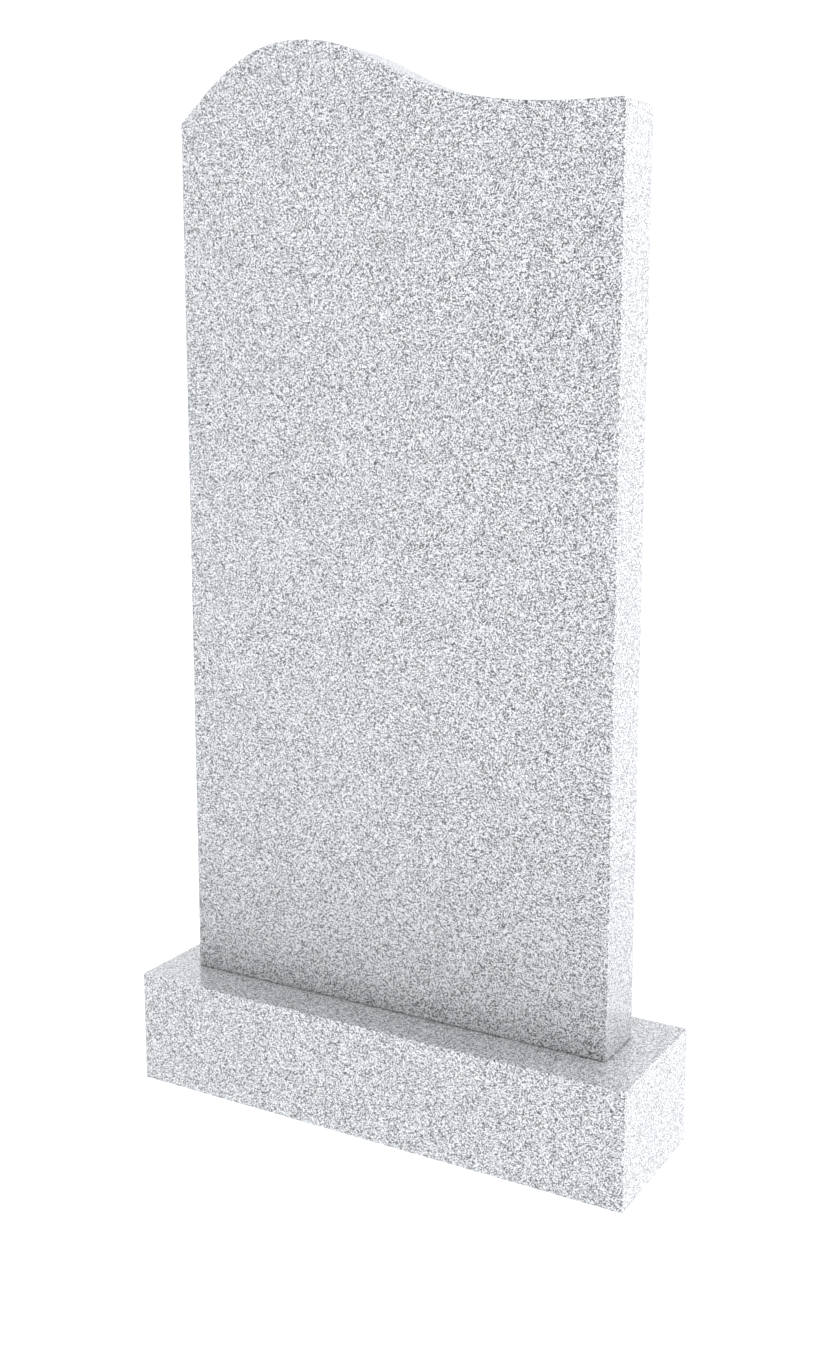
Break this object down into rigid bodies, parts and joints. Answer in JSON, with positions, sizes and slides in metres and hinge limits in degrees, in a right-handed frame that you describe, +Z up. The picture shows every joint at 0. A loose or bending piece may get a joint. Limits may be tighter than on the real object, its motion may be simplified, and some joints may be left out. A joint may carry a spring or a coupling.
{
  "type": "upright headstone",
  "caption": "Upright granite headstone: a flat polished slab whose top is a wave, highest left of centre, standing on a rectangular plinth.",
  "frame": {"origin": "centre of the plinth's underside, on the ground that the headstone stands on", "axes": "+Z up, -Y out of the slab's front, +X to the right as seen from the front, so the crest of the wave is at -X"},
  "size_m": [0.7, 0.2, 1.3503],
  "materials": {
    "slab_granite": "polished light grey fine-grained granite with dark grey flecks",
    "plinth_granite": "polished light grey fine-grained granite with dark grey flecks"
  },
  "bodies": {
    "root": {"headstone_slab": "slab_granite", "plinth": "plinth_granite"}
  },
  "joints": []
}
